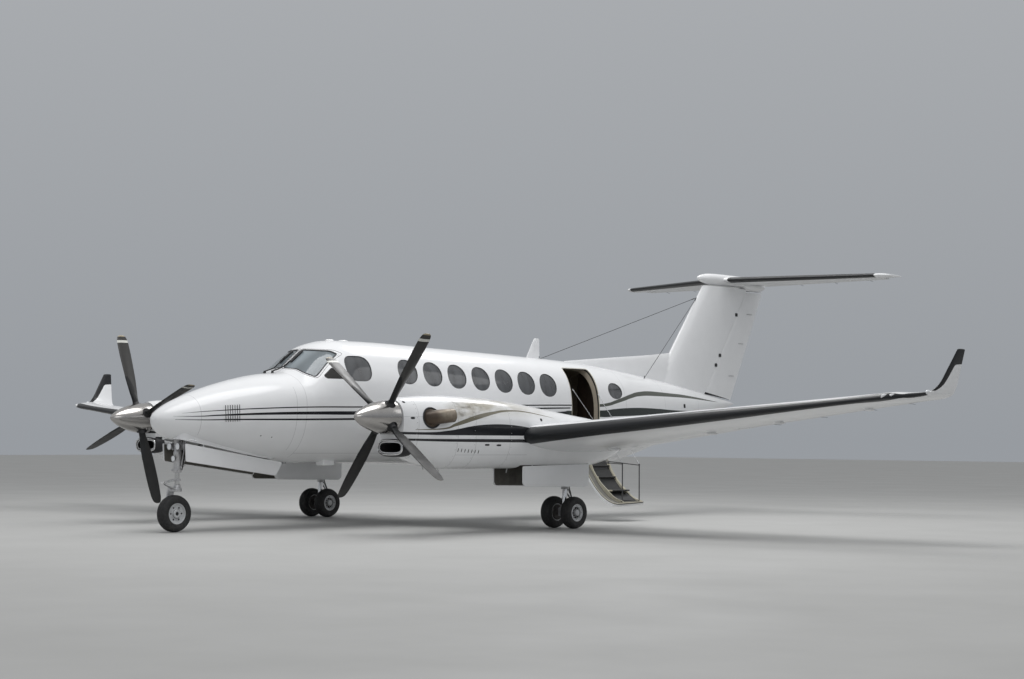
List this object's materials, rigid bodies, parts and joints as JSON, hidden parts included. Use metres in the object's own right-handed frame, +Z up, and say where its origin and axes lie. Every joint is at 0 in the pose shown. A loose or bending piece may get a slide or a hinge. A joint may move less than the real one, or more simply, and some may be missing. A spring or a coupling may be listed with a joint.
{
  "type": "twin turboprop aircraft",
  "caption": "Low-wing business aircraft with a T-tail, winglets and a turboprop on each wing, parked on tricycle gear with its airstair open",
  "frame": {"origin": "on the ground at the middle of the aircraft's length and span", "axes": "+Z up, -Y towards the nose, +X towards the port wing tip"},
  "size_m": [17.6376, 14.22, 4.289],
  "materials": {
    "paint_white": "gloss white paint with black and grey-green bands",
    "tail_paint": "gloss white paint on aluminium",
    "glass": "tinted, polished",
    "carpet": "short tan pile",
    "panel_black": "matt black",
    "seat_leather": "tan leather",
    "engine_metal": "heat-tinted metal",
    "spinner_polish": "polished",
    "blade_dark": "satin dark grey paint with a light tip band",
    "gear_metal": "satin grey metal with bright pistons",
    "rim_paint": "light grey paint",
    "tyre": "ribbed tread, dusty",
    "step_paint": "cream paint with dark treads",
    "cable_steel": "bright wire"
  },
  "bodies": {
    "airframe": {"nose_section": "paint_white", "cabin_shell": "paint_white", "tail_section": "tail_paint", "windscreen_left": "glass", "windscreen_right": "glass", "cabin_panes_left": "glass", "cabin_panes_right": "glass", "aft_pane_left": "glass", "aft_pane_right": "glass", "cabin_floor": "carpet", "instrument_panel": "panel_black", "crew_seats": "seat_leather", "cabin_seats_left": "seat_leather", "cabin_seats_right": "seat_leather", "fin": "tail_paint", "tailplane": "tail_paint", "nacelle_left": "paint_white", "nacelle_right": "paint_white", "engine_left": "engine_metal", "engine_right": "engine_metal", "wing_outer_left": "paint_white", "wing_outer_right": "paint_white", "wing_inner_left": "paint_white", "wing_inner_right": "paint_white", "nose_leg": "gear_metal", "main_leg_left": "gear_metal", "main_leg_right": "gear_metal", "nose_door_left": "paint_white", "nose_door_right": "paint_white", "main_door_left_outer": "paint_white", "main_door_left_inner": "paint_white", "main_door_right_outer": "paint_white", "main_door_right_inner": "paint_white", "airstair_cable_fore": "cable_steel", "airstair_cable_aft": "cable_steel", "blade_antenna": "paint_white"},
    "rudder": {"rudder": "tail_paint"},
    "elevator_left": {"elevator_left": "tail_paint"},
    "elevator_right": {"elevator_right": "tail_paint"},
    "aileron_left": {"aileron_left": "paint_white"},
    "aileron_right": {"aileron_right": "paint_white"},
    "flap_inboard_left": {"flap_inboard_left": "paint_white"},
    "flap_inboard_right": {"flap_inboard_right": "paint_white"},
    "flap_outboard_left": {"flap_outboard_left": "paint_white"},
    "flap_outboard_right": {"flap_outboard_right": "paint_white"},
    "propeller_left": {"spinner_left": "spinner_polish", "propeller_left": "blade_dark"},
    "propeller_right": {"spinner_right": "spinner_polish", "propeller_right": "blade_dark"},
    "nose_fork": {"nose_fork": "gear_metal"},
    "nose_wheel": {"nose_tyre": "tyre", "nose_rim": "rim_paint"},
    "main_wheels_left": {"main_wheels_left": "rim_paint", "main_tyre_left_outer": "tyre", "main_tyre_left_inner": "tyre"},
    "main_wheels_right": {"main_wheels_right": "rim_paint", "main_tyre_right_outer": "tyre", "main_tyre_right_inner": "tyre"},
    "airstair": {"airstair_door": "paint_white", "airstair_steps": "step_paint"}
  },
  "joints": [
    {"name": "nose_steering", "type": "hinge", "parent": "airframe", "child": "nose_fork", "pos_m": [0, -6.57, 0.6], "axis": [0, 0, 1], "range_deg": [-48, 48]},
    {"name": "nose_wheel_spin", "type": "hinge", "parent": "nose_fork", "child": "nose_wheel", "pos_m": [0, -6.612, 0.25], "axis": [1, 0, 0], "continuous": true},
    {"name": "main_wheels_left_spin", "type": "hinge", "parent": "airframe", "child": "main_wheels_left", "pos_m": [2.615, -1.655, 0.23], "axis": [1, 0, 0], "continuous": true},
    {"name": "main_wheels_right_spin", "type": "hinge", "parent": "airframe", "child": "main_wheels_right", "pos_m": [-2.615, -1.655, 0.23], "axis": [1, 0, 0], "continuous": true},
    {"name": "propeller_left_spin", "type": "hinge", "parent": "airframe", "child": "propeller_left", "pos_m": [2.615, -5.262, 1.552], "axis": [0, -1, 0], "continuous": true},
    {"name": "propeller_right_spin", "type": "hinge", "parent": "airframe", "child": "propeller_right", "pos_m": [-2.615, -5.262, 1.552], "axis": [0, -1, 0], "continuous": true},
    {"name": "airstair_hinge", "type": "hinge", "parent": "airframe", "child": "airstair", "pos_m": [0.79, 0.96, 1.143], "axis": [0, 1, 0], "range_deg": [-145, 0], "deforming": ["airstair_cable_fore", "airstair_cable_aft"]},
    {"name": "rudder_hinge", "type": "hinge", "parent": "airframe", "child": "rudder", "pos_m": [0, 5.80499, 3.09], "axis": [0, 0.5666, 0.824], "range_deg": [-25, 25]},
    {"name": "elevator_left_hinge", "type": "hinge", "parent": "airframe", "child": "elevator_left", "pos_m": [0.205, 6.51189, 4.18538], "axis": [0.9881, 0.1537, 0.0018], "range_deg": [-5, 29]},
    {"name": "elevator_right_hinge", "type": "hinge", "parent": "airframe", "child": "elevator_right", "pos_m": [-0.205, 6.51189, 4.18538], "axis": [0.9881, -0.1537, -0.0018], "range_deg": [-5, 29]},
    {"name": "aileron_left_hinge", "type": "hinge", "parent": "airframe", "child": "aileron_left", "pos_m": [5.6, -1.50572, 1.50146], "axis": [0.9932, -0.0422, 0.1083], "range_deg": [-20, 20]},
    {"name": "aileron_right_hinge", "type": "hinge", "parent": "airframe", "child": "aileron_right", "pos_m": [-5.6, -1.50572, 1.50146], "axis": [0.9932, 0.0422, -0.1083], "range_deg": [-20, 20]},
    {"name": "flap_inboard_left_hinge", "type": "hinge", "parent": "airframe", "child": "flap_inboard_left", "pos_m": [0.88, -1.42021, 1.09232], "axis": [-0.999, -0.0064, -0.044], "range_deg": [0, 35]},
    {"name": "flap_inboard_right_hinge", "type": "hinge", "parent": "airframe", "child": "flap_inboard_right", "pos_m": [-0.88, -1.42021, 1.09232], "axis": [-0.999, 0.0064, 0.044], "range_deg": [0, 35]},
    {"name": "flap_outboard_left_hinge", "type": "hinge", "parent": "airframe", "child": "flap_outboard_left", "pos_m": [3.11, -1.39938, 1.20718], "axis": [-0.9922, 0.0424, -0.1173], "range_deg": [0, 35]},
    {"name": "flap_outboard_right_hinge", "type": "hinge", "parent": "airframe", "child": "flap_outboard_right", "pos_m": [-3.11, -1.39938, 1.20718], "axis": [-0.9922, -0.0424, 0.1173], "range_deg": [0, 35]}
  ],
  "couplings": [
    {"joint": "elevator_right_hinge", "follows": "elevator_left_hinge", "ratio": 1},
    {"joint": "aileron_right_hinge", "follows": "aileron_left_hinge", "ratio": -1},
    {"joint": "flap_inboard_right_hinge", "follows": "flap_inboard_left_hinge", "ratio": 1},
    {"joint": "flap_outboard_left_hinge", "follows": "flap_inboard_left_hinge", "ratio": 1},
    {"joint": "flap_outboard_right_hinge", "follows": "flap_inboard_left_hinge", "ratio": 1}
  ]
}
